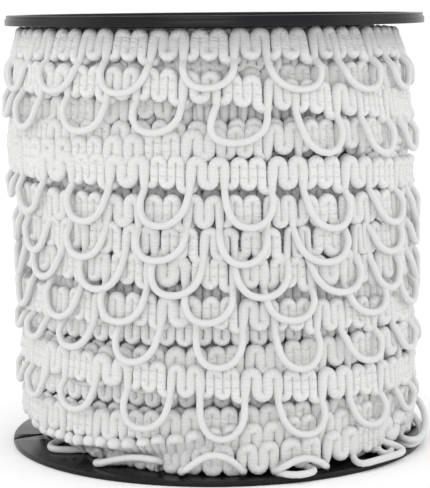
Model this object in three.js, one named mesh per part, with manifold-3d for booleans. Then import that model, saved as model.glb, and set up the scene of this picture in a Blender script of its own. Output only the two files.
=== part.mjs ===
// Reel of elastic button loop trim: one long looped strip wound in rows round a black plastic reel.
// Millimetres, +Z up, origin at the centre of the reel's foot. Angles are in degrees, from the front
// (-Y) towards +X.

import * as THREE from "three";
import { mergeVertices } from "three/addons/utils/BufferGeometryUtils.js";
import Module from "manifold-3d";

// Reel
const REEL_HEIGHT = 121.6;
const FLANGE_RADIUS = 59;
const LOWER_FLANGE_THICKNESS = 1.5;
const UPPER_FLANGE_THICKNESS = 1.8;
const EDGE_ROUND = 0.4;
const RIM_HEIGHT = 1;
const RIM_SET_BACK = 0.4;
const RIM_WIDTH = 2.4;
const BARREL_RADIUS = 20;
const BORE_RADIUS = 17.5;
const FIT_GAP = 0.3;
const BARREL_CLEARANCE = 0.5;
const REEL_SEGMENTS = 72;
const MERGE_DISTANCE = 1e-4;

// Catch slit in the lower flange, for the end of a thread
const SLIT_LENGTH = 10;
const SLIT_WIDTH = 0.9;
const SLIT_ANGLE = -80.5;
const SLIT_SLANT = 25;

// Trim strip
const HEADING_HEIGHT = 8;
const HEADING_THICKNESS = 2.2;
const ROW_GAP = 0.8;
const LOOP_OVERLAP = 0.5;
const CORD = 1.9;
const LOOPS_PER_TURN = 16;
const LOOP_SPAN = 13;
const LEG_WIDTH = 2;

// Angles across the front at which the turns are set out
const SET_OUT_ANGLES = [-60, -30, 0, 30, 60];

// The turns of the strip from the top of the reel down. A column holds one value, or one for each of the
// set-out angles: top, height of the heading's top edge; upper and lower, radius of the heading's outer face
// at its top and lower edges; shift, degrees by which the loops are off their even spacing; drop, from the
// heading's top edge down to the middle of the cord at the foot of a loop, 0 where the loops are wound in;
// out, radius of the middle of the loop's cord.
const TURNS = [
  { top: [118, 118, 118, 118, 117], upper: 52, lower: 54.6, shift: -8.6, drop: 15.4, out: 57.2 },
  { top: [109.8, 109, 107.6, 103.8, 101.5], upper: 52.8, lower: 55.4, shift: 0.3, drop: 16.8, out: 57.6 },
  { top: [88.4, 90.3, 92.8, 94.2, 94], upper: 51, lower: 53.6, shift: 1.5, drop: 0, out: 57.6 },
  { top: [87, 86.5, 85.8, 85.2, 83.2], upper: 53.7, lower: 56.3, shift: 2.4, drop: 17.6, out: 58 },
  { top: [76.6, 76, 76, 75.3, 74.6], upper: 53.6, lower: 56.2, shift: 1, drop: 17, out: 58 },
  { top: [68, 67.6, 66.6, 66.3, 65.2], upper: 53.6, lower: 56.2, shift: 5.6, drop: 16.6, out: 58 },
  { top: [60.2, 60, 59.5, 58.8, 58], upper: 53.4, lower: 56, shift: 13.8, drop: 16.6, out: 57.9 },
  { top: [48.6, 49.4, 48.7, 47.2, 45.6], upper: 53.6, lower: 56.2, shift: 17, drop: 16.8, out: 57.7 },
  { top: [34.8, 35, 36, 37.2, 37.2], upper: 51, lower: 53.6, shift: 17.4, drop: 0, out: 57.6 },
  { top: [33.6, 31.2, 30.3, 28.9, 27.8], upper: 53.6, lower: 56.2, shift: 18, drop: 16.6, out: 58 },
  { top: [17.5, 17.9, 19.4, 18.5, 17.5], upper: 50.6, lower: 53.2, shift: 16, drop: 0, out: 57.5 },
  { top: [9, 9.8, 11, 11.4, 12], upper: 55, lower: [50, 51, 52.5, 54, 54.5], shift: 14, drop: 0, out: 57.8 },
];
const LYING_TURN = TURNS.length - 1;

// The strip's cut ends, at the back
const STRIP_START = { angle: -180, top: 118, shift: -4.2 };
const STRIP_END = { angle: 360 * LYING_TURN + 180, top: 4.4, shift: 15 };

// A loop from its left root to its right: across, down and out are shares of its span, depth and reach
const LOOP_SHAPE = [
  { across: 0.02, down: 0.58, out: 0.85 },
  { across: 0.16, down: 0.9, out: 1 },
  { across: 0.42, down: 1, out: 1 },
  { across: 0.7, down: 0.91, out: 1 },
  { across: 0.93, down: 0.55, out: 0.85 },
];

const TRIM_FINISH = { color: 0xf4f3ef, roughness: 0.85, metalness: 0 };
const REEL_FINISH = { color: 0x1e1c20, roughness: 0.25, metalness: 0 };

const LOOP_COUNT = LOOPS_PER_TURN * TURNS.length;
const LOOP_PITCH = 360 / LOOPS_PER_TURN;
const LEG_EDGES = [-LEG_WIDTH / 2, LEG_WIDTH / 2, LOOP_SPAN - LEG_WIDTH / 2, LOOP_SPAN + LEG_WIDTH / 2];
const LAST_COLUMN_ANGLE = STRIP_END.angle + STRIP_END.shift - LEG_WIDTH;
const COLUMNS_PER_TURN = LOOPS_PER_TURN * LEG_EDGES.length;
const UPPER_FLANGE_UNDERSIDE = REEL_HEIGHT - RIM_HEIGHT - UPPER_FLANGE_THICKNESS;
const BARREL_MIDDLE = (LOWER_FLANGE_THICKNESS + UPPER_FLANGE_UNDERSIDE) / 2;
const WINDING_BOTTOM = LOWER_FLANGE_THICKNESS + FIT_GAP;
const WINDING_TOP = UPPER_FLANGE_UNDERSIDE - FIT_GAP;
const WINDING_BORE = BARREL_RADIUS + BARREL_CLEARANCE;
const LYING_CORD_HEIGHT = WINDING_BOTTOM + CORD / 2;

const wasm = await Module();
wasm.setup();

function around(angle, radius, height) {
  const turn = THREE.MathUtils.degToRad(angle);
  return new THREE.Vector3(radius * Math.sin(turn), -radius * Math.cos(turn), height);
}

// Knots of one column of the table, as pairs of winding angle and value
function knotsOf(column) {
  const knots = [];
  TURNS.forEach((turn, index) => {
    SET_OUT_ANGLES.forEach((angle, place) => {
      const value = Array.isArray(turn[column]) ? turn[column][place] : turn[column];
      knots.push([360 * index + angle, value]);
    });
  });
  for (const end of [STRIP_START, STRIP_END]) {
    if (column in end) {
      knots.push([end.angle, end[column]]);
    }
  }
  return knots.sort((a, b) => a[0] - b[0]);
}

const KNOTS = {};
for (const column of ["top", "upper", "lower", "shift", "drop", "out"]) {
  KNOTS[column] = knotsOf(column);
}

// Value of a column at a winding angle, on a smooth curve through its knots
function along(column, angle) {
  const knots = KNOTS[column];
  const last = knots.length - 1;
  let start = 0;
  while (start < last - 1 && angle > knots[start + 1][0]) {
    start += 1;
  }
  const slope = (from, to) => (knots[to][1] - knots[from][1]) / (knots[to][0] - knots[from][0]);
  const [angleA, valueA] = knots[start];
  const [angleB, valueB] = knots[start + 1];
  const width = angleB - angleA;
  const t = THREE.MathUtils.clamp((angle - angleA) / width, 0, 1);
  const riseA = slope(Math.max(start - 1, 0), start + 1) * width;
  const riseB = slope(start, Math.min(start + 2, last)) * width;
  const bend = 3 * (valueB - valueA) - 2 * riseA - riseB;
  const twist = 2 * (valueA - valueB) + riseA + riseB;
  return valueA + t * (riseA + t * (bend + t * twist));
}

// Height of the heading's lower edge, which stops above the next turn's top edge and the flange
function footHeight(angle) {
  const next = angle + 360;
  const overFlange = LYING_CORD_HEIGHT + CORD / 2 + FIT_GAP;
  const floor = next > LAST_COLUMN_ANGLE ? overFlange : along("top", next) + ROW_GAP;
  return Math.max(along("top", angle) - HEADING_HEIGHT, floor);
}

// The mesh of the wound strip is gathered point by point and face by face
class MeshBuilder {
  constructor() {
    this.positions = [];
    this.index = [];
  }

  point(place) {
    this.positions.push(place.x, place.y, place.z);
    return this.positions.length / 3 - 1;
  }

  quad(a, b, c, d) {
    this.index.push(a, b, c, a, c, d);
  }

  fan(hub, ...rim) {
    for (let step = 0; step + 1 < rim.length; step += 1) {
      this.index.push(hub, rim[step], rim[step + 1]);
    }
  }

  geometry() {
    const geometry = new THREE.BufferGeometry();
    geometry.setAttribute("position", new THREE.Float32BufferAttribute(this.positions, 3));
    geometry.setIndex(this.index);
    return geometry;
  }
}

// Winding angle of the left leg of a loop, counted from the start of the strip at the back
function loopAngle(number) {
  const even = STRIP_START.angle + LOOP_PITCH * number;
  return even + along("shift", even);
}

// One section of the strip: the heading's top edge, and the outer and inner sides of its lower edge
function stripColumn(mesh, angle) {
  const lower = along("lower", angle);
  const foot = footHeight(angle);
  return {
    top: mesh.point(around(angle, along("upper", angle), along("top", angle))),
    outer: mesh.point(around(angle, lower, foot)),
    inner: mesh.point(around(angle, lower - HEADING_THICKNESS, foot)),
  };
}

function stripColumns(mesh) {
  const columns = [];
  for (let number = 0; number < LOOP_COUNT; number += 1) {
    for (const edge of LEG_EDGES) {
      columns.push(stripColumn(mesh, loopAngle(number) + edge));
    }
  }
  columns.push(stripColumn(mesh, loopAngle(LOOP_COUNT) + LEG_EDGES[0]));
  return columns;
}

// Points of the winding's bore at one height, one beside each column of a turn
function boreRing(mesh, height) {
  const ring = [];
  for (let number = 0; number < LOOPS_PER_TURN; number += 1) {
    for (const edge of LEG_EDGES) {
      const angle = STRIP_START.angle + LOOP_PITCH * number + edge;
      ring.push(mesh.point(around(angle, WINDING_BORE, height)));
    }
  }
  ring.push(ring[0]);
  return ring;
}

// True where a loop of the strip leaves the underside of the heading between two columns
function isLeg(column) {
  return column % 2 === 0 && hasLoop(Math.floor(column / LEG_EDGES.length));
}

function turnOf(number) {
  return Math.floor(number / LOOPS_PER_TURN);
}

function hasLoop(number) {
  const atCutEnd = number === 0;
  return !atCutEnd && (TURNS[turnOf(number)].drop > 0 || turnOf(number) === LYING_TURN);
}

// Faces of the heading, of its underside, and from there in to the top edge of the next turn
function stripFaces(mesh, columns) {
  for (let c = 0; c + 1 < columns.length; c += 1) {
    const here = columns[c];
    const next = columns[c + 1];
    mesh.quad(here.top, here.outer, next.outer, next.top);
    if (!isLeg(c)) {
      mesh.quad(here.outer, here.inner, next.inner, next.outer);
    }
    const below = c + COLUMNS_PER_TURN;
    if (below + 1 < columns.length) {
      mesh.quad(here.inner, columns[below].top, columns[below + 1].top, next.inner);
    }
  }
}

// Ends of the winding against the flanges, its bore, and the cut ends of the strip at the back
function windingEnds(mesh, columns) {
  const topRing = boreRing(mesh, WINDING_TOP);
  const bottomRing = boreRing(mesh, WINDING_BOTTOM);
  const lastTurn = columns.length - 1 - COLUMNS_PER_TURN;
  for (let c = 0; c < COLUMNS_PER_TURN; c += 1) {
    const low = columns[lastTurn + c];
    const lowNext = columns[lastTurn + c + 1];
    mesh.quad(columns[c].top, columns[c + 1].top, topRing[c + 1], topRing[c]);
    mesh.quad(low.inner, bottomRing[c], bottomRing[c + 1], lowNext.inner);
    mesh.quad(topRing[c], topRing[c + 1], bottomRing[c + 1], bottomRing[c]);
  }
  const first = columns[0];
  const last = columns.at(-1);
  mesh.fan(first.inner, first.outer, first.top, topRing[0], columns[COLUMNS_PER_TURN].top);
  mesh.fan(columns[lastTurn].inner, last.top, last.outer, last.inner, bottomRing[0]);
}

// Height of the cord's middle at the foot of a loop, kept clear of the loops of the turn below
function loopFootHeight(number) {
  const left = loopAngle(number);
  const hung = along("top", left) - TURNS[turnOf(number)].drop;
  if (!hasLoop(number + LOOPS_PER_TURN)) {
    return hung;
  }
  return Math.max(hung, footHeight(left + 360 + LOOP_SPAN / 2) - LOOP_OVERLAP);
}

// Middle of the cord at one station of a loop; the lowest turn's loops lie out along the flange instead
function loopStation(number, shape) {
  const angle = loopAngle(number) + shape.across * LOOP_SPAN;
  const root = along("lower", angle) - HEADING_THICKNESS / 2;
  const reach = along("out", angle) - root;
  if (turnOf(number) === LYING_TURN) {
    return around(angle, root + shape.down * reach, LYING_CORD_HEIGHT);
  }
  const foot = footHeight(angle);
  const depth = foot - loopFootHeight(number);
  return around(angle, root + shape.out * reach, foot - shape.down * depth);
}

// Four corners of the cord round one station, square to the way the loop runs there
function cordRing(mesh, before, here, after, lying) {
  const run = after.clone().sub(before).normalize();
  const facing = lying ? new THREE.Vector3(0, 0, 1) : new THREE.Vector3(here.x, here.y, 0).normalize();
  const side = facing.cross(run).normalize();
  const face = run.clone().cross(side);
  const corner = (out, across) => {
    const place = here.clone().addScaledVector(face, (out * CORD) / 2);
    return mesh.point(place.addScaledVector(side, (across * CORD) / 2));
  };
  return [corner(1, -1), corner(-1, -1), corner(-1, 1), corner(1, 1)];
}

function loopFaces(mesh, columns, number) {
  const first = number * LEG_EDGES.length;
  const [leftA, leftB, rightA, rightB] = columns.slice(first, first + LEG_EDGES.length);
  const leftRoot = loopStation(number, { across: 0, down: 0, out: 0 });
  const rightRoot = loopStation(number, { across: 1, down: 0, out: 0 });
  const stations = [leftRoot, ...LOOP_SHAPE.map((shape) => loopStation(number, shape)), rightRoot];
  const lying = turnOf(number) === LYING_TURN;
  const rings = [[leftA.outer, leftA.inner, leftB.inner, leftB.outer]];
  for (let s = 1; s + 1 < stations.length; s += 1) {
    rings.push(cordRing(mesh, stations[s - 1], stations[s], stations[s + 1], lying));
  }
  rings.push([rightB.outer, rightB.inner, rightA.inner, rightA.outer]);
  for (let s = 0; s + 1 < rings.length; s += 1) {
    for (let side = 0; side < 4; side += 1) {
      const next = (side + 1) % 4;
      mesh.quad(rings[s][side], rings[s][next], rings[s + 1][next], rings[s + 1][side]);
    }
  }
}

function woundTrim() {
  const mesh = new MeshBuilder();
  const columns = stripColumns(mesh);
  stripFaces(mesh, columns);
  windingEnds(mesh, columns);
  for (let number = 0; number < LOOP_COUNT; number += 1) {
    if (hasLoop(number)) {
      loopFaces(mesh, columns, number);
    }
  }
  return mesh.geometry();
}

// Closed ring turned about Z from an outline of radius and height pairs
function turned(outline) {
  const points = [...outline, outline[0]].map(([radius, height]) => new THREE.Vector2(radius, height));
  const geometry = new THREE.LatheGeometry(points, REEL_SEGMENTS);
  geometry.rotateX(Math.PI / 2);
  return geometry;
}

function bare(geometry) {
  geometry.deleteAttribute("normal");
  geometry.deleteAttribute("uv");
  return mergeVertices(geometry, MERGE_DISTANCE);
}

function toManifold(geometry) {
  const plain = bare(geometry);
  const vertProperties = new Float32Array(plain.attributes.position.array);
  const triVerts = new Uint32Array(plain.index.array);
  return new wasm.Manifold(new wasm.Mesh({ numProp: 3, vertProperties, triVerts }));
}

function fromManifold(solid) {
  const mesh = solid.getMesh();
  const geometry = new THREE.BufferGeometry();
  geometry.setAttribute("position", new THREE.Float32BufferAttribute(mesh.vertProperties, 3));
  geometry.setIndex(Array.from(mesh.triVerts));
  return geometry;
}

function catchSlit() {
  const depth = 4 * LOWER_FLANGE_THICKNESS;
  const box = new THREE.BoxGeometry(2 * SLIT_LENGTH, SLIT_WIDTH, depth);
  const mouth = around(SLIT_ANGLE, FLANGE_RADIUS, 0);
  box.rotateZ(THREE.MathUtils.degToRad(SLIT_ANGLE - 90 + SLIT_SLANT));
  box.translate(mouth.x, mouth.y, mouth.z);
  return box;
}

function reelLowerHalf() {
  const rim = FLANGE_RADIUS;
  const top = LOWER_FLANGE_THICKNESS;
  const disc = turned([
    [BORE_RADIUS, 0],
    [rim - EDGE_ROUND, 0],
    [rim, EDGE_ROUND],
    [rim, top - EDGE_ROUND],
    [rim - EDGE_ROUND, top],
    [BARREL_RADIUS, top],
    [BARREL_RADIUS, BARREL_MIDDLE - FIT_GAP / 2],
    [BORE_RADIUS, BARREL_MIDDLE - FIT_GAP / 2],
  ]);
  return fromManifold(toManifold(disc).subtract(toManifold(catchSlit())));
}

function reelUpperHalf() {
  const rim = FLANGE_RADIUS;
  const under = UPPER_FLANGE_UNDERSIDE;
  const disc = under + UPPER_FLANGE_THICKNESS;
  const rimOuter = rim - RIM_SET_BACK;
  return turned([
    [BORE_RADIUS, BARREL_MIDDLE + FIT_GAP / 2],
    [BARREL_RADIUS, BARREL_MIDDLE + FIT_GAP / 2],
    [BARREL_RADIUS, under],
    [rim - EDGE_ROUND, under],
    [rim, under + EDGE_ROUND],
    [rim, disc - EDGE_ROUND],
    [rimOuter, disc],
    [rimOuter, REEL_HEIGHT - EDGE_ROUND],
    [rimOuter - EDGE_ROUND, REEL_HEIGHT],
    [rimOuter - RIM_WIDTH, REEL_HEIGHT],
    [rimOuter - RIM_WIDTH - EDGE_ROUND, disc],
    [BORE_RADIUS, disc],
  ]);
}

function piece(name, geometry, finish) {
  const mesh = new THREE.Mesh(geometry, new THREE.MeshStandardMaterial(finish));
  mesh.name = name;
  return mesh;
}

const reel = new THREE.Group();
reel.add(piece("reel_lower_half", reelLowerHalf(), REEL_FINISH));
reel.add(piece("reel_upper_half", reelUpperHalf(), REEL_FINISH));

const woundReel = new THREE.Group();
woundReel.add(reel);
woundReel.add(piece("wound_trim", woundTrim(), TRIM_FINISH));

export default woundReel;
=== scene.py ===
# Reel of elastic button loop trim: the looks of the wound trim and of its black plastic reel.
# Sizes are in millimetres until a mesh is made. Angles are in degrees, from the front (-Y) towards +X.

import math

import bmesh
import bpy
import numpy as np
from mathutils import Matrix, Vector


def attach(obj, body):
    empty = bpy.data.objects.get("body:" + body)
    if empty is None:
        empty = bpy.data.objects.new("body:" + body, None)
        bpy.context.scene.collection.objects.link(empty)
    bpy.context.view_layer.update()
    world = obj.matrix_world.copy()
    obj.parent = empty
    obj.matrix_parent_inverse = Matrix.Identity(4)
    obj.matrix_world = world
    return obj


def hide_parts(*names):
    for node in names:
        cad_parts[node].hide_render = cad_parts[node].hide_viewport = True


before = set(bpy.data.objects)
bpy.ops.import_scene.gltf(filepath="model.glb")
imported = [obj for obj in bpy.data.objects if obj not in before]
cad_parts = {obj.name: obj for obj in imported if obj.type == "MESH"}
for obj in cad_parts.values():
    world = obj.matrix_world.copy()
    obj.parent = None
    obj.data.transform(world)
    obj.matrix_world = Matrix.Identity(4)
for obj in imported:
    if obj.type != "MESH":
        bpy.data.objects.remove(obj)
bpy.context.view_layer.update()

MM = 0.001
SEED = 7

# The photograph's frame and the camera that fits it
PHOTO_HEIGHT_PX = 488
FOCAL_PX = 1861
SENSOR_MM = 36
CAMERA_PLACE = (-0.35, -529.8, 125.9)
CAMERA_DOWN = 7.52
CAMERA_ROLL = 0.49
CAMERA_NEAREST_M = 0.01

# Reel
REEL_HEIGHT = 121.6
FLANGE_RADIUS = 59
LOWER_FLANGE = 1.5
UPPER_FLANGE = 1.8
RIM_HEIGHT = 1
RIM_SET_BACK = 0.4
RIM_WIDTH = 2.4
EDGE_ROUND = 0.35
EDGE_STEPS = 3
BARREL_RADIUS = 20
BORE_RADIUS = 17.5
FIT_GAP = 0.3
UPPER_UNDERSIDE = REEL_HEIGHT - RIM_HEIGHT - UPPER_FLANGE
BARREL_MIDDLE = (LOWER_FLANGE + UPPER_UNDERSIDE) / 2

# Catch slit in the lower flange
SLIT_LENGTH = 10
SLIT_WIDTH = 0.7
SLIT_ANGLE = -80.5
SLIT_SLANT = 25
SLIT_CUT_HEIGHT = 4 * LOWER_FLANGE

# Turned meshes: steps round, distance at which points are merged, angle in radians past which an edge is
# rounded, and angle past which an edge looks sharp
TURNED_STEPS = 192
MERGE_DISTANCE = 0.001
ROUNDED_ANGLE = 0.6
SHARP_ANGLE = 35

# Trim strip: height of its heading, the radius at which its legs are spaced, and the thickness of its cords.
# The loop cord is broad and flat in the heading and round in the loops.
HEADING = 9
STRIP_RADIUS = 55
LOOP_CORD_THICK = 2.5
LOOP_CORD_ROUND = 1.92
GIMP_THICK = 2.3
THREAD = 0.3
# How far out of the heading's middle the loop cord lies, and the gimp cord where it is behind
LOOP_CORD_OUT = 0.2
GIMP_BEHIND = -1.85
# Shares of the spacing of its legs that a cord fills in a leg and in a bend, and how much thicker a bend is
LEG_FILL = 1.12
BEND_FILL = 1.06
BEND_SWELL = 0.28
# Width past that of a loop at which the loop cord shows ribs in full
FULL_BULK = 0.5
# Steps along bends, legs and loops, and sides of the cords
ARC_STEPS = 7
LEG_STEPS = 4
GIMP_LEG_STEPS = 7
LOOP_STEPS = 3
CORD_SIDES = 10
THREAD_SIDES = 4

# Shares of a loop's span at which the legs of the narrow gimp cord stand, from the loop's left leg to its
# right, and how much lower its last bend is
GIMP_LEGS = (0.03, 0.215, 0.4, 0.58, 0.765, 1.05)
GIMP_LOW_TURN = 1.1
# Where the gimp is behind: places in stations from the loop's left leg, and heights above its lower bends
GIMP_HIDDEN = ((1.11, 0.6), (1.35, 1.8), (1.65, 1.8), (1.95, 0.6))
# Shares of the plain stretch between two loops at which the legs of the loop cord stand
LOOP_CORD_LEGS = (0, 1 / 3, 2 / 3, 1)

# Stitch threads: how far down the heading they run, how much and how far up and down they draw in the gimp
STITCH_HEIGHTS = (3.1, 5.6)
STITCH_PINCH = 0.09
STITCH_REACH = 0.4
# A stitch over a leg of the gimp: places in stations from the leg, and shares of its rise
STITCH_ARCH = ((-0.069, 0.2), (-0.045, 0.68), (0, 1), (0.045, 0.68), (0.069, 0.2))
STITCH_CLEARANCE = 0.06
STITCH_TUG = 0.2
THREAD_FLATNESS = 1.3
# Where a thread is behind the loop cord: places in stations from the loop's left leg, and how far behind
STITCH_HIDDEN = (0.95, 1.2, 1.5, 1.8, 2.04)
STITCH_BEHIND = -1.1

# Loops: how many to a turn, share of their spacing that they span, share of the span at which the right leg
# has its root, sag of the foot, drop of a loop that isn't listed, and height of the roots above the foot of
# the heading
LOOPS_PER_TURN = 16
LOOP_SHARE = 0.61
LOOP_RIGHT = 0.96
FOOT_SAG = 0.6
FREE_DROP = 15
LOOP_ROOT = 0.4
# How fast the unevenness of the heading dies away down a loop
ROOT_FADE = 3

# A hanging loop from its left root to its right one: across as a share of its span, down as a share of its
# depth below the heading, out as a share of its reach
LOOP_SHAPE = (
    (0.0, 0.0, 0.0),
    (-0.01, 0.2, 0.6),
    (-0.01, 0.42, 1.0),
    (0.02, 0.66, 1.0),
    (0.1, 0.86, 1.0),
    (0.23, 0.97, 1.0),
    (0.39, 1.0, 1.0),
    (0.57, 0.95, 1.0),
    (0.74, 0.8, 1.0),
    (0.87, 0.56, 1.0),
    (0.93, 0.3, 0.75),
    (0.96, 0.0, 0.0),
)

# How far a loop leans, from 0 for the shape above to 1 for its mirror image: at the front, how much more at
# the right side and less at the left, and the least and the most
LEAN_FRONT = 0.2
LEAN_SIDE = 1.6
LEAN_RANGE = (-0.1, 1.3)

# A loop of the lowest turn that isn't listed: its skew as a share of its span, and the rise of its roots
LYING_SKEW = 0.1
LYING_RISE = 1.6
# Least share by which the broad side of a lying cord faces up
LYING_UPWARD = 0.2

# How unevenly the loops lie: degrees along the strip and rise of the foot if they aren't listed, degrees of
# span if theirs isn't, and sway as a share of the span
PLACE_SCATTER = 0.9
FOOT_SCATTER = 0.8
SPAN_SCATTER = 0.4
SWAY = 0.03
# How far the heading's top, foot and face wander, and the layer below, and steps of the wander to a station
TOP_WANDER = 0.22
FOOT_WANDER = 0.25
OUT_WANDER = 0.16
UNDER_WANDER = 0.3
WANDER_STEPS = 6

# Angles across the front at which the turns are set out
SET_OUT_ANGLES = (-60, -30, 0, 30, 60)
# Steepest lean of a heading, as the sine of its angle
STEEPEST_LEAN = 0.95

# The turns from the top of the reel down. top: height of the heading's top edge at the set-out angles;
# upper and lower: radius of the heading's middle at its edges; out: radius of the loops' cord;
# first: number in its turn of the first loop listed; loops: angle of a loop's left leg and height of its
# foot, and for some how many degrees it spans and how far it leans.
TURNS = [
    dict(top=(118.3, 118.4, 118.4, 118.4, 118.2), upper=50.4, lower=53.4, out=55.9, first=5,
         loops=((-76, 101.6), (-53, 101.9), (-31, 101.7), (-8.6, 103, 14.4), (14.5, 102.4, 15.4, 1.3),
                (37, 101.9, 14.8, 1.5), (60, 101.5))),
    dict(top=(109.8, 109, 107.6, 104.7, 102), upper=53.2, lower=54.4, out=56.4, first=4,
         loops=((-84.5, 94.8), (-66.5, 92.5), (-43.4, 92.5), (-21.6, 92.5), (0.3, 90.2, 14.6, -0.7),
                (22.5, 87.2), (44.8, 86), (64.5, 85.5))),
    dict(top=(100.8, 102.6, 107.4, 109.4, 109), upper=(51.4, 50.6, 50, 50, 52.4),
         lower=(52, 51.2, 50.6, 50.6, 53), out=49.6, first=5,
         loops=((-49.5, 88), (-27, 88), (-4.5, 88), (18, 88), (40.5, 88))),
    dict(top=(94.6, 94.9, 95.2, 95.6, 96), upper=(53, 51.6, 50.9, 50.9, 51.4),
         lower=(53.6, 52.2, 51.5, 51.5, 52), out=50.6, first=5,
         loops=((-65, 83), (-42.5, 83), (-20, 83), (2, 83), (24.5, 83), (47, 83))),
    dict(top=(89.4, 91.2, 93.2, 94.8, 94.8), upper=(54, 53, 52.3, 52.3, 52.8),
         lower=(54.4, 53.6, 52.9, 52.9, 53.4), out=51.6, first=5,
         loops=((-66.5, 83), (-44, 83), (-21.5, 83), (1.5, 83), (24, 83), (46.5, 83))),
    dict(top=(87, 86.5, 85.8, 85.2, 83.2), upper=53.9, lower=54.7, out=57, first=4,
         loops=((-85, 72.4), (-67, 69.7), (-42.4, 68.8, 13.2), (-19.5, 68.5, 13), (2.3, 67.9, 13.4),
                (24.4, 66.9, 14.2), (47.8, 66.8))),
    dict(top=(76.6, 76, 76, 75.3, 74.6), upper=53.7, lower=54.5, out=56.8, first=5,
         loops=((-66, 59), (-44, 59.3), (-21.4, 59.3), (0.9, 58.4), (21.3, 58, 16.8), (47, 58.5))),
    dict(top=(69, 68.6, 67.6, 67.3, 66.2), upper=53.7, lower=54.5, out=56.8, first=4,
         loops=((-83, 50.8), (-60.8, 52.3), (-39.2, 51, 14), (-17, 50.5, 14), (4.9, 49.6, 15.2),
                (25.8, 49.7, 16.6), (47.3, 48.9))),
    dict(top=(60.9, 60.7, 60.2, 59.5, 58.7), upper=53.7, lower=54.5, out=56.8, first=5,
         loops=((-53.5, 42.2), (-32.1, 42.8), (-8.5, 43.3), (13, 43.3), (37.7, 43.1))),
    dict(top=(49.4, 50.2, 49.5, 47.8, 46), upper=53.7, lower=54.5, out=56.6, first=3,
         loops=((-84, 35.4), (-66.5, 34.6), (-47.9, 34.4), (-27.6, 32.4), (-5.6, 31.6), (15.9, 30.6),
                (36.6, 30.7))),
    dict(top=(34.8, 35, 36, 37.2, 37.2), upper=(51.6, 51.6, 51.6, 51.8, 53.4),
         lower=(52.2, 52.2, 52.2, 52.4, 54), out=51.2, first=5,
         loops=((-49.5, 24), (-27, 24), (-4.5, 24), (18, 24), (40.5, 24))),
    dict(top=(34.2, 33.1, 31, 29.2, 28), upper=53.7, lower=54.5, out=56.4, first=3,
         loops=((-84, 20), (-67, 18.5), (-47.8, 17.9), (-25.6, 15.1), (-4.8, 12.8), (16.8, 12.9),
                (39.2, 12.4))),
    dict(top=(18, 18, 19.8, 20.6, 20.6), upper=(53.2, 52, 51.2, 51.2, 51.6),
         lower=(53.8, 52.6, 51.8, 51.8, 52.2), out=50.6, first=4,
         loops=((-73.5, 9.5), (-51, 9.5), (-28.5, 9), (-6, 9), (16.5, 9), (39, 9))),
    dict(top=(9, 9.9, 15, 17, 18), upper=(55.2, 55.6, 54.4, 53.2, 52.8),
         lower=(47, 47.6, 51.4, 53, 53), out=(45, 46, 49, 51, 51), first=5,
         loops=((-60.5, 5), (-42.8, 5), (-24.8, 5), (-5.2, 4.4), (17.5, 4.4))),
    dict(top=(9.4, 9.6, 10.3, 11.8, 13), upper=(41, 45.4, 53.2, 54.6, 54.6),
         lower=(44.6, 49.2, 53.6, 54.6, 54.6), out=(44, 50, 57, 57.4, 57.4), first=6,
         loops=((-53.5, 2.5, 13), (-31, 2.5, 13), (-9.5, 2.5, 16.2), (15.5, 2.5, 16.5), (41, 2.5, 12),
                (67, 2.5, 13))),
]
LYING_TURN = len(TURNS) - 1
# Winding angle, at the back, at which the strip is divided into two pieces, and rows by which they overlap
PIECE_JOIN = 360 * 7 - 180
JOIN_ROWS = 3

# Where the strip goes at the back: its upper end lies over the turn below it, the lowest turns lie one over
# the other, and its lower end is tucked in behind them
STRIP_TOP_END = dict(angle=-180, top=118, upper=52.6, lower=55.2, out=57)
STRIP_FOOT_END = dict(angle=360 * LYING_TURN + 168, top=15.5, upper=49.4, lower=49.8, out=50)
BACK_OF_STRIP = (
    STRIP_TOP_END,
    dict(angle=360 * 2 + 130, top=104, upper=51.8, lower=52.4, out=51),
    dict(angle=360 * 3 + 150, top=95.2, upper=51, lower=51.6, out=51),
    dict(angle=360 * 3 + 220, top=93.4, upper=51.6, lower=52.2, out=51),
    dict(angle=360 * 4 + 150, top=91, upper=54, lower=54.8, out=57),
    dict(angle=360 * 4 + 220, top=88.6, upper=54, lower=54.8, out=57),
    dict(angle=360 * (LYING_TURN - 4) + 130, top=36.2, upper=52.2, lower=52.8, out=51.4),
    dict(angle=360 * (LYING_TURN - 2) + 150, top=18.4, upper=53.6, lower=54.4, out=56),
    dict(angle=360 * (LYING_TURN - 2) + 220, top=15.4, upper=54, lower=53.4, out=55.6),
    dict(angle=360 * (LYING_TURN - 1) - 86, top=11.8, upper=54.6, lower=48, out=48),
    dict(angle=360 * (LYING_TURN - 1) + 150, top=12.2, upper=51.2, lower=51.6, out=55),
    dict(angle=360 * (LYING_TURN - 1) + 220, top=11.4, upper=50.6, lower=51, out=55),
    dict(angle=360 * LYING_TURN + 110, top=12, upper=54.2, lower=54.4, out=57.4),
    STRIP_FOOT_END,
)

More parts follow.
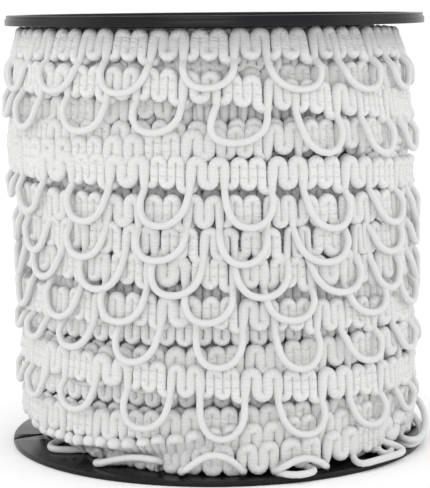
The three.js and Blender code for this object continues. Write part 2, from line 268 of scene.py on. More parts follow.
# Loops of the lowest turn at the front, which lie on the flange or are folded up against the heading
LYING_LOOPS = (
    ((-40, -29.5, 5.2), (-41.5, -24, 4.9), (-43.6, -19, 3.6), (-46, -19.8, 2.6), (-46.7, -22.6, 2.5),
     (-46, -25.2, 2.5), (-44.2, -26.6, 2.5), (-41, -27.1, 2.5), (-36.6, -27, 2.6), (-33.6, -31.5, 3.4),
     (-32.5, -37.5, 4.6)),
    ((-25.4, -42.6, 3), (-28, -42.2, 2.8), (-30.8, -41.2, 2.6), (-32.5, -41.3, 2.5), (-32.6, -42.7, 2.5),
     (-31, -44.2, 3), (-28.4, -45.8, 4), (-23.7, -48.5, 5.4), (-19.9, -50.2, 5.7), (-16.8, -51.2, 5.4),
     (-15, -50, 4.6)),
    ((-8.8, -51.6, 3.6), (-9.8, -54, 2.9), (-8.4, -56.6, 4.2), (-4.8, -57.6, 7), (-1.2, -57.6, 8.1),
     (2.4, -57.2, 7.2), (4.8, -56.2, 5.1), (6.6, -54.8, 3), (6.2, -52.6, 3.8)),
    ((14.6, -51.6, 3.6), (14.9, -54.2, 2.9), (17, -55.6, 4.4), (20.4, -54.8, 5.9), (23.6, -53, 6),
     (26.6, -51, 4.6), (28.6, -49.4, 2.9), (27.4, -47.6, 3.8)),
    ((36.2, -40.4, 4.6), (36.6, -43.4, 3), (38.6, -45.2, 2.5), (43.2, -41.2, 2.5), (47, -37.2, 2.5),
     (49.9, -34, 2.6), (50.4, -31.8, 3), (48.6, -31, 3.9), (46, -31.8, 5), (43.4, -32.4, 6.4)),
    ((49, -17.4, 5.6), (49.8, -19.4, 3.8), (51.2, -23.6, 2.6), (53.4, -24.4, 2.5), (55.6, -21, 2.5),
     (57.4, -14.8, 2.6), (57.8, -9.4, 4), (56.4, -6.8, 6.4), (54, -7.4, 9)),
)
# Feet of loops of the turn above, which show under the fourth and the fifth of these and over the sixth
STRAY_LOOPS = (
    ((14.2, -49, 3.6), (14.8, -52.8, 2.5), (17.5, -55.6, 2.5), (20.8, -56.4, 2.5), (24.2, -54.2, 2.5),
     (25, -51.4, 2.6), (22, -48.6, 3.2)),
    ((41.6, -31.6, 7), (43.2, -33.4, 4.2), (44.8, -34.4, 2.7), (46.8, -33.6, 2.5), (47.4, -30.6, 3),
     (45.4, -28.6, 4.6)),
    ((49.4, -18.6, 7), (50.6, -22.4, 4.6), (53, -26, 4.2), (55.6, -24.4, 4.2), (57.8, -18, 4.3),
     (59.2, -10, 5.2), (59.4, -4, 7.4), (58, -1, 10), (55.4, -1, 12.4)),
)

# Turns of the layer below, which show in the gaps: height of the top edge, and radius of each, for some of
# them at the set-out angles
UNDER_TURNS = (
    (118.4, 48),
    (115.4, 48.6),
    (110, (50.8, 50, 48.6, 47.6, 49.6)),
    (101.8, (50.4, 48.6, 47.6, 47.6, 50.6)),
    (93, (50.4, 47.6, 47.6, 47.6, 51)),
    (85, (50, 48.4, 48.4, 48.4, 51.4)),
    (77.8, (50, 48.6, 48.6, 48.6, 51)),
    (69.6, (50.6, 49.6, 49.6, 49.6, 50.6)),
    (61.4, (51, 49.6, 49.6, 49.6, 51)),
    (52.6, (51, 49.2, 49.2, 49.2, 52.2)),
    (44, (51, 49.4, 49.4, 49.4, 51.2)),
    (35.6, (50.6, 48, 48, 48, 50)),
    (27, (51.4, 47.6, 47.4, 48, 49.4)),
    (18.6, (51.4, 47, 46.6, 47, 49.4)),
    (10.4, 43.4),
)
# Angles at the back at which these turns are set out too, and their radius there
UNDER_BACK_ANGLES = (120, 240)
UNDER_BACK = 50.6
# Their strip: where it starts, its legs to a turn, thickness of its cord, how far its foot stands out, and
# the steps and sides of the cord
UNDER_START = -180
UNDER_LEGS_PER_TURN = 128
UNDER_CORD = 2.5
UNDER_SPREAD = 0.6
UNDER_BEND_STEPS = 5
UNDER_LEG_STEPS = 2
UNDER_SIDES = 6

# Core of the winding, which is slimmer at its foot
CORE_RADIUS = 45
CORE_FOOT_RADIUS = 41
CORE_STEP = 9
CORE_TOP = 118.4
BARREL_CLEARANCE = 0.5

# The winding is fuller at its sides than at the front, and leans to the left towards its top: heights, and
# there how far it stands out at both sides and how far it leans
SIDE_HEIGHTS = (8, 22, 44, 64, 74, 86, 98, 118)
SIDE_FULLNESS = (0.6, 1.3, 0.5, 0.4, 1, 2.3, 1.5, 1.2)
SIDE_LEAN = (0, -0.3, -0.3, 0, 0.6, 1.2, 1.3, 2.1)

# Columns of the rows that a cord is given by
MIDDLE = slice(0, 3)
FACING = slice(3, 6)
WIDE = 6
THICK = 7

# Yarns: length along the cord of a crossing of its cover, and how much a yarn is lower where it passes under
COVER_LAY = 0.6
UNDERPASS = 0.3
# Length along the cord of a rib of its wrapping, how high the coarse and the fine ribs stand, how much
# darker their grooves are painted as shade and the tone at a groove's bottom, and how unevenly they lie
RIB_LAY = 1
RIB_RISE = 1
RIB_PAINTED_SHADE = 0.36
RIB_BASE = 0.14
FINE_LAY = 0.3
FINE_RISE = 0.35
RIB_WANDER = 3
RIB_WANDER_SCALE = 450
RIB_WANDER_DETAIL = 1
# Fibres on the yarns
FIBRE_SCALE = 3200
FIBRE_DETAIL = 4
FIBRE_ROUGHNESS = 0.65

# Whites of the yarns, and the painted shade that darkens the grooves between yarns and ribs
WHITE = (0.7, 0.7, 0.695)
COVER_WHITE = (0.67, 0.67, 0.665)
# The under yarn's white is lighter than the outer yarns': painted light that lifts the shade in the gaps
# where it shows
UNDER_PAINTED_LIGHT_WHITE = (0.84, 0.84, 0.835)
SHADE = (0.56, 0.56, 0.555)
# Each cord's yarns: how many go round it, how far fibres stand on them, depth of relief, and the two tones,
# painted groove shade and lit white
LOOP_CORD_YARN = dict(yarns=8, fuzz=0.6, depth=0.06, shade=SHADE, light=COVER_WHITE)
GIMP_YARN = dict(yarns=1, fuzz=0.9, depth=0.11, shade=SHADE, light=WHITE)
THREAD_YARN = dict(yarns=1, fuzz=0.3, depth=0.03, shade=SHADE, light=WHITE)
# The under yarn's grooves take the outer white and its crests the lighter one, painted light in the gaps
UNDER_YARN = dict(yarns=1, fuzz=0.9, depth=0.11, shade=WHITE, light=UNDER_PAINTED_LIGHT_WHITE)
# Tone at which a yarn is lightest, strength of its relief, and its finish
LIGHTEST_TONE = 0.8
YARN_RELIEF = 0.7
YARN_FINISH = {"Roughness": 0.85, "Specular IOR Level": 0.3, "Sheen Weight": 0.12, "Sheen Roughness": 0.6}

# Black moulded plastic, with smears that change its roughness
PLASTIC_COLOUR = (0.008, 0.0075, 0.009, 1)
PLASTIC_SPECULAR = 0.18
SMEAR_SCALE = 45
SMEAR_DETAIL = 5
SMEAR_GLOSS = {"From Min": 0.3, "From Max": 0.7, "To Min": 0.2, "To Max": 0.3}

# Floor
FLOOR_REACH_M = 100
FLOOR_COLOUR = (0.98, 0.98, 0.98, 1)
FLOOR_ROUGHNESS = 0.9

# Light: strength of the white surroundings and of the overhead light, where the soft boxes aim, and their
# place and size in metres and their power
SURROUNDINGS = 1.03
OVERHEAD = 0.15
OVERHEAD_SPREAD = 60
OVERHEAD_TILT = 20
BOX_AIM = (0, 0, 0.06)
SOFT_BOXES = (
    ("left_box", (-0.75, -0.1, 0.3), (0.5, 0.7), 0.85),
    ("right_box", (0.75, -0.1, 0.3), (0.5, 0.7), 0.85),
    ("front_box", (-0.15, -1.3, 0.35), (0.8, 0.6), 2.4),
)

random = np.random.default_rng(SEED)


def smooth_between(at, knots, values):
    """Values at some places on a smooth curve through the knots."""
    knots = np.asarray(knots, float)
    values = np.asarray(values, float)
    slopes = np.gradient(values, knots)
    start = np.clip(np.searchsorted(knots, at) - 1, 0, len(knots) - 2)
    width = knots[start + 1] - knots[start]
    t = np.clip((at - knots[start]) / width, 0, 1)
    rise = values[start + 1] - values[start]
    slope_a = slopes[start] * width
    slope_b = slopes[start + 1] * width
    squared = 3 * rise - 2 * slope_a - slope_b
    cubed = slope_a + slope_b - 2 * rise
    return values[start] + t * (slope_a + t * (squared + t * cubed))


def smooth_line(points, steps):
    """Points on a smooth line through the given ones, with some steps to each stretch."""
    knots = np.arange(len(points))
    at = np.linspace(0, len(points) - 1, (len(points) - 1) * steps + 1)
    return np.stack([smooth_between(at, knots, column) for column in np.asarray(points, float).T], axis=1)


def wander(count, reach):
    """Slow random wander of a value, as a function of the place along a strip of some count of steps."""
    steps = random.uniform(-reach, reach, count + 2)
    return lambda at: np.interp(at, np.arange(count + 2), steps)


def side_stand(turn, height):
    """How far the winding stands out of round at some angles and heights."""
    aside = np.sin(turn)
    fullness = smooth_between(height, SIDE_HEIGHTS, SIDE_FULLNESS)
    lean = smooth_between(height, SIDE_HEIGHTS, SIDE_LEAN)
    return fullness * aside ** 2 - lean * aside


class Winding:
    """Where a strip lies on the reel, by its winding angle, which grows by 360 with each turn."""

    def __init__(self, turns, ends=()):
        self.knots = {}
        for column in ("top", "upper", "lower", "out"):
            pairs = []
            for index, turn in enumerate(turns):
                values = np.broadcast_to(turn[column], len(SET_OUT_ANGLES))
                pairs += [(360 * index + angle, value) for angle, value in zip(SET_OUT_ANGLES, values)]
            pairs += [(end["angle"], end[column]) for end in ends]
            self.knots[column] = np.array(sorted(pairs)).T

    def at(self, column, angle):
        return smooth_between(angle, *self.knots[column])

    def rows(self, angle, down, out, wide, thick):
        """Rows of a cord: middle, the way its broad side faces, width and thickness."""
        columns = map(np.atleast_1d, (angle, down, out, wide, thick))
        angle, down, out, wide, thick = np.broadcast_arrays(*columns)
        upper = self.at("upper", angle)
        lean = (self.at("lower", angle) - upper) / HEADING
        fall = np.sqrt(1 - np.clip(lean, -STEEPEST_LEAN, STEEPEST_LEAN) ** 2)
        inside = np.minimum(down, HEADING)
        below = np.maximum(down - HEADING, 0)
        radius = upper + lean * inside + fall * out
        height = self.at("top", angle) - fall * inside - below + lean * out
        height = np.maximum(height, LOWER_FLANGE + wide / 2)
        turn = np.radians(angle)
        radius = radius + side_stand(turn, height)
        around = np.stack([np.sin(turn), -np.cos(turn)], axis=1)
        middle = np.column_stack([around * radius[:, None], height])
        facing = np.column_stack([around * fall[:, None], lean])
        return np.column_stack([middle, facing, wide, thick])


def arc(start, end, middle, bulge, steps):
    """Half round bend from one leg to the next: places across and down."""
    turn = np.linspace(0, math.pi, steps + 1)
    across = (start + end) / 2 - (end - start) / 2 * np.cos(turn)
    return across, middle + bulge * np.sin(turn)


def swollen(count):
    """Share by which a cord is thicker along a bend, from one leg to the next."""
    return 1 + BEND_SWELL * np.sin(np.linspace(0, math.pi, count))


def pinched(down):
    """Share to which a stitch thread draws in a cord, by the place down the heading."""
    near = [np.exp(-(((down - height) / STITCH_REACH) ** 2)) for height in STITCH_HEIGHTS]
    return 1 - STITCH_PINCH * np.sum(near, axis=0)


def loop_stations():
    """Number of every loop, winding angle of its left leg, its span, the drop of its foot and its lean."""
    numbers, lefts, feet, spans, leans = [], [], [], {}, {}
    for index, turn in enumerate(TURNS):
        for step, (angle, foot, *more) in enumerate(turn["loops"]):
            numbers.append(LOOPS_PER_TURN * index + turn["first"] + step)
            lefts.append(360 * index + angle)
            feet.append(float(winding.at("top", 360 * index + angle)) - foot)
            spans.update({numbers[-1]: value for value in more[:1]})
            leans.update({numbers[-1]: value for value in more[1:]})
    every = np.arange(LOOPS_PER_TURN * len(TURNS) + 1)
    pitch = 360 / LOOPS_PER_TURN
    left = np.interp(every, numbers, lefts)
    left = np.where(every < numbers[0], lefts[0] - (numbers[0] - every) * pitch, left)
    left = np.where(every > numbers[-1], lefts[-1] + (every - numbers[-1]) * pitch, left)
    drop = np.interp(every, numbers, feet)
    listed = np.isin(every, numbers)
    left = left + np.where(listed, 0, random.uniform(-PLACE_SCATTER, PLACE_SCATTER, len(every)))
    free = np.minimum(FREE_DROP, winding.at("top", left) - LOWER_FLANGE - LOOP_CORD_ROUND / 2)
    drop = np.where(listed, drop, np.maximum(drop, free) + random.uniform(-FOOT_SCATTER, 0, len(every)))
    span = np.gradient(left) * LOOP_SHARE + random.uniform(-SPAN_SCATTER, SPAN_SCATTER, len(every))
    span = np.array([spans.get(number, width) for number, width in zip(every, span)])
    aside = np.sin(np.radians(left + span / 2))
    lean = np.clip(LEAN_FRONT + LEAN_SIDE * aside, *LEAN_RANGE)
    lean = np.array([leans.get(number, value) for number, value in zip(every, lean)])
    kept = left < STRIP_FOOT_END["angle"] - pitch
    kept &= left > STRIP_TOP_END["angle"]
    return every[kept], left[kept], span[kept], drop[kept], lean[kept]


# Each loop has two stations, one at its left leg and one at its right
winding = Winding(TURNS, BACK_OF_STRIP)
loop_number, loop_left, loop_span, loop_drop, loop_lean = loop_stations()
loop_count = len(loop_left)
station_angles = np.column_stack([loop_left, loop_left + loop_span]).ravel()
stations = np.arange(len(station_angles))
top_wander = wander(len(stations) * WANDER_STEPS, TOP_WANDER)
foot_wander = wander(len(stations) * WANDER_STEPS, FOOT_WANDER)
out_wander = wander(len(stations) * WANDER_STEPS, OUT_WANDER)


def strip_rows(station, down, out, wide, thick):
    """Rows of a cord in the heading, set a little unevenly, by the place along the strip in stations."""
    station = np.asarray(station, float)
    angle = np.interp(station, stations, station_angles)
    share = np.clip(np.asarray(down) / HEADING, 0, 1)
    step = station * WANDER_STEPS
    uneven = top_wander(step) * (1 - share) + foot_wander(step) * share
    return winding.rows(angle, down + uneven, out + out_wander(step), wide, thick)


def turn_of(number):
    return int(np.clip((loop_left[number] + 180) // 360, 0, LYING_TURN))


def hanging_loop(number):
    """Rows of a loop that hangs over the turn below."""
    left = loop_left[number]
    lean = float(winding.at("lower", left) - winding.at("upper", left)) / HEADING
    depth = loop_drop[number] + FOOT_SAG - HEADING * math.sqrt(1 - lean ** 2)
    sway = random.uniform(-SWAY, SWAY)
    shape = np.array(LOOP_SHAPE)
    mirrored = shape[::-1] * (-1, 1, 1) + (LOOP_RIGHT, 0, 0)
    shape = (shape + (mirrored - shape) * loop_lean[number]) * (1, depth, 1) + (0, HEADING, 0)
    across, down, out = smooth_line(shape, LOOP_STEPS).T
    fall = np.clip((down - HEADING) / depth, 0, 1)
    angle = left + (across + sway * np.sin(math.pi / 2 * fall)) * loop_span[number]
    root = WANDER_STEPS * (2 * number + np.where(across < 0.5, 0, LOOP_RIGHT))
    fade = np.clip(1 - ROOT_FADE * fall, 0, 1) ** 2
    reach = winding.at("out", angle) - winding.at("lower", angle)
    out = out * reach + (LOOP_CORD_OUT + out_wander(root)) * fade
    return winding.rows(angle, down + foot_wander(root) * fade, out, LOOP_CORD_ROUND, LOOP_CORD_ROUND)


def laid_rows(points):
    """Rows of a round cord along points given in the reel's own frame."""
    line = smooth_line(points, LOOP_STEPS)
    run = np.gradient(line, axis=0)
    run /= np.linalg.norm(run, axis=1)[:, None]
    outward = np.column_stack([line[:, :2], np.zeros(len(line))])
    outward /= np.linalg.norm(outward, axis=1)[:, None]
    flat = np.abs(np.sum(run * outward, axis=1))[:, None]
    facing = outward * (1 - flat) + np.array([0, 0, 1.0]) * (flat + LYING_UPWARD)
    cord = np.full(len(line), LOOP_CORD_ROUND)
    return np.column_stack([line, facing, cord, cord])


def lying_loop(number):
    """Rows of a loop of the lowest turn, which lies out on the flange."""
    listed = loop_number[number] - LOOPS_PER_TURN * LYING_TURN - TURNS[LYING_TURN]["first"]
    if 0 <= listed < len(LYING_LOOPS):
        return laid_rows(LYING_LOOPS[listed])
    left = loop_left[number]
    span = loop_span[number]
    root = float(winding.at("lower", left))
    reach = float(winding.at("out", left)) - root
    rest = LOWER_FLANGE + LOOP_CORD_ROUND / 2
    points = []
    for across, down, _ in LOOP_SHAPE:
        turn = math.radians(left + (across + LYING_SKEW * down) * span)
        radius = root + reach * down
        height = rest + LYING_RISE * (1 - down) ** 2
        points.append((radius * math.sin(turn), -radius * math.cos(turn), height))
    return laid_rows(points)


def leg_spacing(station, share):
    """Distance between neighbouring legs that take a share of the stretch from one station to the next."""
    stretch = station_angles[station + 1] - station_angles[station]
    return math.radians(stretch) * STRIP_RADIUS * share


def loop_cord_repeat(number):
    """Rows of the loop cord for one repeat: a loop, then the plain stretch of heading up to the next."""
    start = 2 * number
    final = number + 1 == loop_count
    spacing = leg_spacing(start - 1 if final else start + 1, LOOP_CORD_LEGS[1])
    wide, bend_wide = spacing * LEG_FILL, spacing * BEND_FILL
    bend = spacing / 2
    top = bend_wide / 2 + bend
    foot = HEADING - top
    leg = np.linspace(top, HEADING - LOOP_ROOT, LEG_STEPS + 1)
    slim = np.linspace(0, 1, LEG_STEPS + 1)
    leg_wide = wide + (LOOP_CORD_ROUND - wide) * slim ** 2
    leg_thick = LOOP_CORD_THICK + (LOOP_CORD_ROUND - LOOP_CORD_THICK) * slim ** 2
    parts = [strip_rows(np.full(len(leg), start), leg, LOOP_CORD_OUT, leg_wide, leg_thick)[1:]]
    lying = turn_of(number) == LYING_TURN
    parts.append(lying_loop(number) if lying else hanging_loop(number))
    right = start + LOOP_RIGHT + (1 - LOOP_RIGHT) * slim
    parts.append(strip_rows(right, leg[::-1], LOOP_CORD_OUT, leg_wide[::-1], leg_thick[::-1])[:-1])
    if final:
        return np.concatenate(parts)
    legs = [start + 1 + share for share in LOOP_CORD_LEGS]
    straight = np.linspace(top, foot, LEG_STEPS + 1)[1:-1]
    bends = ((top, -bend), (foot, bend), (top, -bend))
    for index, (place, bulge) in enumerate(bends):
        across, down = arc(legs[index], legs[index + 1], place, bulge, ARC_STEPS)
        thick = LOOP_CORD_THICK * swollen(len(across))
        parts.append(strip_rows(across, down, LOOP_CORD_OUT, bend_wide, thick))
        if index + 1 < len(bends):
            down = straight if index == 0 else straight[::-1]
            at = np.full(len(down), legs[index + 1])
            parts.append(strip_rows(at, down, LOOP_CORD_OUT, wide, LOOP_CORD_THICK))
    return np.concatenate(parts)


def gimp_repeat(number):
    """Rows of the narrow gimp cord for one repeat: four legs between those of the loop, the rest behind."""
    start = 2 * number
    spacing = leg_spacing(start, GIMP_LEGS[1] - GIMP_LEGS[0])
    wide, bend_wide = spacing * LEG_FILL, spacing * BEND_FILL
    bend = spacing / 2
    top = bend_wide / 2 + bend
    foot = HEADING - top
    legs = [start + share for share in GIMP_LEGS]
    bends = ((foot, bend), (top, -bend), (foot, bend), (top, -bend), (foot + GIMP_LOW_TURN, bend))
    # The first bend comes from behind the loop cord, and the last goes there
    hidden = {0: (GIMP_BEHIND, 0), len(bends) - 1: (0, GIMP_BEHIND)}
    parts = []
    for index, (place, bulge) in enumerate(bends):
        across, down = arc(legs[index], legs[index + 1], place, bulge, ARC_STEPS)
        out = np.linspace(*hidden.get(index, (0, 0)), len(across))
        parts.append(strip_rows(across, down, out, bend_wide, GIMP_THICK * swollen(len(across))))
        if index + 1 < len(bends):
            next_place = bends[index + 1][0]
            down = np.linspace(place, next_place, GIMP_LEG_STEPS + 1)[1:-1]
            at = np.full(len(down), legs[index + 1])
            pinch = pinched(down)
            parts.append(strip_rows(at, down, 0, wide * pinch, GIMP_THICK * pinch))
    if number + 1 < loop_count:
        across, rise = np.array(GIMP_HIDDEN).T
        parts.append(strip_rows(start + across, foot - rise, GIMP_BEHIND, wide, GIMP_THICK))
    return np.concatenate(parts)


def joined(repeats, low, high):
    """Rows of some repeats, with the first few of the next, so that the pieces overlap where they join."""
    return np.concatenate([*repeats[low:high], *(repeat[:JOIN_ROWS] for repeat in repeats[high:high + 1])])


def stitch_thread(height):
    """Rows of a chain stitch thread that runs along the heading, over the gimp and behind the loop cord."""
    across, rise = np.array(STITCH_ARCH).T
    out = rise * (GIMP_THICK / 2 + STITCH_CLEARANCE)
    behind = np.array(STITCH_HIDDEN)
    parts = []
    for number in range(loop_count):
        start = 2 * number
        for leg in GIMP_LEGS[1:-1]:
            tug = random.uniform(-STITCH_TUG, STITCH_TUG)
            at = start + leg + across
            parts.append(strip_rows(at, height + tug, out, THREAD * THREAD_FLATNESS, THREAD))
        if number + 1 < loop_count:
            parts.append(strip_rows(start + behind, height, STITCH_BEHIND, THREAD, THREAD))
    return np.concatenate(parts)


def under_turn(top, radius):
    return dict(top=top, upper=radius, lower=np.add(radius, UNDER_SPREAD), out=radius)


def under_winding():
    """Where the strip of the layer below lies."""
    tops = [top for top, _ in UNDER_TURNS]
    places = 360 * np.arange(len(tops))
    backs = []
    for angle in np.add.outer(places[:-1], UNDER_BACK_ANGLES).ravel():
        backs.append(dict(under_turn(np.interp(angle, places, tops), UNDER_BACK), angle=angle))
    return Winding([under_turn(*turn) for turn in UNDER_TURNS], backs)


def under_turns():
    """Rows of the cord of the layer below, worked back and forth all the way."""
    layer = under_winding()
    pitch = 360 / UNDER_LEGS_PER_TURN
    bend = math.radians(pitch) * UNDER_TURNS[0][1] / 2
    top = UNDER_CORD / 2 + bend
    foot = HEADING - top
    parts = []
    count = UNDER_LEGS_PER_TURN * len(UNDER_TURNS)
    uneven = wander(count, UNDER_WANDER)
    for leg in range(count - 1):
        angle = UNDER_START + pitch * leg
        place, bulge, other = (top, -bend, foot) if leg % 2 else (foot, bend, top)
        across, down = arc(angle, angle + pitch, place, bulge, UNDER_BEND_STEPS)
        straight = np.linspace(place, other, UNDER_LEG_STEPS + 1)[1:-1]
        across = np.append(across, np.full(len(straight), angle + pitch))
        down = np.append(down, straight)
        parts.append(layer.rows(across, down + uneven(leg), uneven(leg), UNDER_CORD, UNDER_CORD))
    return np.concatenate(parts)


def tube_points(rows, sides):
    """Points of a tube along the rows of a cord, and how far along the cord each row is."""
    middle = rows[:, MIDDLE]
    run = np.gradient(middle, axis=0)
    run /= np.linalg.norm(run, axis=1)[:, None]
    side = np.cross(rows[:, FACING], run)
    side /= np.linalg.norm(side, axis=1)[:, None]
    face = np.cross(run, side)
    turn = 2 * math.pi * np.arange(sides) / sides
    ring = side[:, None] * (np.cos(turn)[None, :, None] * rows[:, WIDE, None, None] / 2)
    ring = ring + face[:, None] * (np.sin(turn)[None, :, None] * rows[:, THICK, None, None] / 2)
    points = (middle[:, None] + ring).reshape(-1, 3)
    step = np.linalg.norm(np.diff(middle, axis=0), axis=1)
    length = np.concatenate([[0], np.cumsum(step)])
    return points, length


def tube_faces(rings, sides, offset):
    """Corner numbers of the quads and of the two end faces of a tube."""
    ring = np.arange(rings - 1)[:, None] * sides
    here = np.arange(sides)[None, :]
    after = (here + 1) % sides
    quads = np.stack([ring + here, ring + after, ring + sides + after, ring + sides + here], axis=2)
    last = (rings - 1) * sides
    ends = [np.arange(sides)[::-1], last + np.arange(sides)]
    return quads.reshape(-1, 4) + offset, [end + offset for end in ends]


def tube_uv(length, sides):
    """Place along the cord in millimetres and round it from 0 to 1, for each corner of the quads."""
    along = np.broadcast_to(length[:-1, None], (len(length) - 1, sides))
    ahead = np.broadcast_to(length[1:, None], along.shape)
    here = np.broadcast_to(np.arange(sides)[None, :] / sides, along.shape)
    after = here + 1 / sides
    u = np.stack([along, along, ahead, ahead], axis=2)
    v = np.stack([here, after, after, here], axis=2)
    return np.stack([u, v], axis=3).reshape(-1, 2)


def filled_mesh(name, points, corners, starts, uvs, bulks):
    """Mesh from points, the faces' corners, the first corner of each face, places on the cord and bulk."""
    mesh = bpy.data.meshes.new(name)
    mesh.vertices.add(len(points))
    mesh.vertices.foreach_set("co", (points * MM).astype(np.float32).ravel())
    mesh.loops.add(len(corners))
    mesh.loops.foreach_set("vertex_index", corners.astype(np.int32))
    mesh.polygons.add(len(starts))
    mesh.polygons.foreach_set("loop_start", starts.astype(np.int32))
    mesh.update(calc_edges=True)
    layer = mesh.uv_layers.new(name="cord")
    layer.data.foreach_set("uv", uvs.astype(np.float32).ravel())
    bulk = mesh.attributes.new("bulk", "FLOAT", "POINT")
    bulk.data.foreach_set("value", bulks.astype(np.float32))
    mesh.shade_smooth()
    return mesh


def cord_piece(name, strands, sides, material):
    """One piece of several cords, each given by its rows."""
    points, corners, starts, uvs, bulks = [], [], [], [], []
    offset = 0
    loop_start = 0
    for rows in strands:
        tube, length = tube_points(rows, sides)
        quads, ends = tube_faces(len(rows), sides, offset)
        points.append(tube)
        corners += [quads.ravel(), *ends]
        starts.append(loop_start + 4 * np.arange(len(quads)))
        loop_start += quads.size
        starts.append(np.array([loop_start, loop_start + sides]))
        loop_start += 2 * sides
        uvs += [tube_uv(length, sides), np.zeros((2 * sides, 2))]
        bulks.append(np.repeat(np.clip((rows[:, WIDE] - LOOP_CORD_ROUND) / FULL_BULK, 0, 1), sides))
        offset += len(tube)
    mesh = filled_mesh(name, *map(np.concatenate, (points, corners, starts, uvs, bulks)))
    trim_piece(name, mesh, material)


def placed(name, data):
    """A new object in the scene."""
    made = bpy.data.objects.new(name, data)
    bpy.context.scene.collection.objects.link(made)
    return made


def finished_mesh(name, work):
    mesh = bpy.data.meshes.new(name)
    work.to_mesh(mesh)
    work.free()
    return mesh


def trim_piece(name, mesh, material):
    piece = placed(name, mesh)
    mesh.materials.append(material)
    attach(piece, "root")
    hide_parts("wound_trim")


def node(tree, kind, **settings):
    made = tree.nodes.new(kind)
    for name, value in settings.items():
        setattr(made, name, value)
    return made


def set_sockets(made, values):
    for socket, value in values.items():
        made.inputs[socket].default_value = value


def calculate(tree, operation, *values):
    """A Math node, with each value a number or the output of another node."""
    made = node(tree, "ShaderNodeMath", operation=operation)
    for socket, value in zip(made.inputs, values):
        if isinstance(value, (int, float)):
            socket.default_value = value
        else:
            tree.links.new(value, socket)
    return made.outputs[0]


def new_material(name):
    material = bpy.data.materials.new(name)
    material.use_nodes = True
    tree = material.node_tree
    return material, tree, tree.nodes["Principled BSDF"]


def yarn_group(name):
    """An empty group for the height of the yarns round a cord, with the places along and round that cord."""
    tree = bpy.data.node_groups.new(name, "ShaderNodeTree")
    for direction, sockets in (("INPUT", ("Yarns", "Fuzz")), ("OUTPUT", ("Height", "Tone"))):
        for socket in sockets:
            tree.interface.new_socket(socket, in_out=direction, socket_type="NodeSocketFloat")
    ins = node(tree, "NodeGroupInput")
    uv = node(tree, "ShaderNodeUVMap", uv_map="cord")
    parts = node(tree, "ShaderNodeSeparateXYZ")
    tree.links.new(uv.outputs[0], parts.inputs[0])
    round_it = calculate(tree, "MULTIPLY", parts.outputs[1], ins.outputs["Yarns"])
    return tree, parts.outputs[0], round_it, ins.outputs["Fuzz"]


def noise(tree, scale, detail):
    """A noise node on the place in the reel's frame."""
    place = node(tree, "ShaderNodeTexCoord")
    made = node(tree, "ShaderNodeTexNoise")
    set_sockets(made, {"Scale": scale, "Detail": detail})
    tree.links.new(place.outputs["Object"], made.inputs["Vector"])
    return made


def yarn_noise(tree, scale, detail):
    """Noise as rough as fibres, from 0 to 1."""
    made = noise(tree, scale, detail)
    made.inputs["Roughness"].default_value = FIBRE_ROUGHNESS
    return made.outputs["Fac"]


def ribs(tree, along, round_it, lay):
    """Ribs of a yarn that is wrapped a little unevenly round a cord, lay being the length of one of them."""
    slant = calculate(tree, "MULTIPLY", round_it, math.pi)
    rough = yarn_noise(tree, RIB_WANDER_SCALE, RIB_WANDER_DETAIL)
    uneven = calculate(tree, "MULTIPLY_ADD", rough, RIB_WANDER, slant)
    way = calculate(tree, "MULTIPLY_ADD", along, math.pi / lay, uneven)
    return calculate(tree, "ABSOLUTE", calculate(tree, "SINE", way))


def finish_yarns(tree, height, tone, fuzz):
    """Adds the fibres that stand on the yarns, and gives the height and the tone out of the group; the tone
    is random fibre tone plus painted shade that is darker where the yarns lie lower.
    """
    fibres = calculate(tree, "MULTIPLY", yarn_noise(tree, FIBRE_SCALE, FIBRE_DETAIL), fuzz)
    outs = node(tree, "NodeGroupOutput")
    for name, value in (("Height", height), ("Tone", tone)):
        tree.links.new(calculate(tree, "ADD", value, fibres), outs.inputs[name])
    return tree


def under_over(tree, ridge, other):
    """Ridge of a yarn that is lower between the ridges of the yarns that it crosses."""
    lift = calculate(tree, "MULTIPLY_ADD", other, UNDERPASS, 1 - UNDERPASS)
    return calculate(tree, "MULTIPLY", ridge, lift)


def braided_cover():
    """Yarns that cross over and under each other round a cord, and turn to ribs where the cord is broad;
    their tone is painted shade, darker where they lie lower.
    """
    tree, along, round_it, fuzz = yarn_group("braided_cover")
    crossings = calculate(tree, "DIVIDE", along, COVER_LAY)
    ways = [calculate(tree, direction, crossings, round_it) for direction in ("ADD", "SUBTRACT")]
    ridges = []
    for way in ways:
        place = calculate(tree, "MULTIPLY", calculate(tree, "FRACT", way), math.pi)
        ridges.append(calculate(tree, "SINE", place))
    cells = calculate(tree, "ADD", *(calculate(tree, "FLOOR", way) for way in ways))
    over = calculate(tree, "FLOORED_MODULO", cells, 2)
    first = under_over(tree, ridges[0], ridges[1])
    second = under_over(tree, ridges[1], ridges[0])
    gain = calculate(tree, "MULTIPLY", over, calculate(tree, "SUBTRACT", first, second))
    cover = calculate(tree, "ADD", second, gain)
    bulk = node(tree, "ShaderNodeAttribute", attribute_name="bulk").outputs["Fac"]
    worked = ribs(tree, along, 0, RIB_LAY)
    rise = calculate(tree, "MULTIPLY_ADD", worked, RIB_RISE, -RIB_RISE)
    height = calculate(tree, "MULTIPLY_ADD", bulk, rise, cover)
    # Tone of the ribs: painted shade, darker in their grooves
    rib_tone = calculate(tree, "MULTIPLY_ADD", worked, RIB_PAINTED_SHADE, RIB_BASE)
    change = calculate(tree, "SUBTRACT", rib_tone, cover)
    tone = calculate(tree, "MULTIPLY_ADD", bulk, change, cover)
    return finish_yarns(tree, height, tone, fuzz)


def wrapped_yarn():
    """Ribs of a yarn that is wrapped closely round a cord, with painted shade in the grooves between them.
    """
    tree, along, round_it, fuzz = yarn_group("wrapped_yarn")
    coarse = ribs(tree, along, round_it, RIB_LAY)
    fine = ribs(tree, along, round_it, FINE_LAY)
    height = calculate(tree, "MULTIPLY_ADD", fine, FINE_RISE, coarse)
    return finish_yarns(tree, height, calculate(tree, "MULTIPLY", height, RIB_PAINTED_SHADE), fuzz)


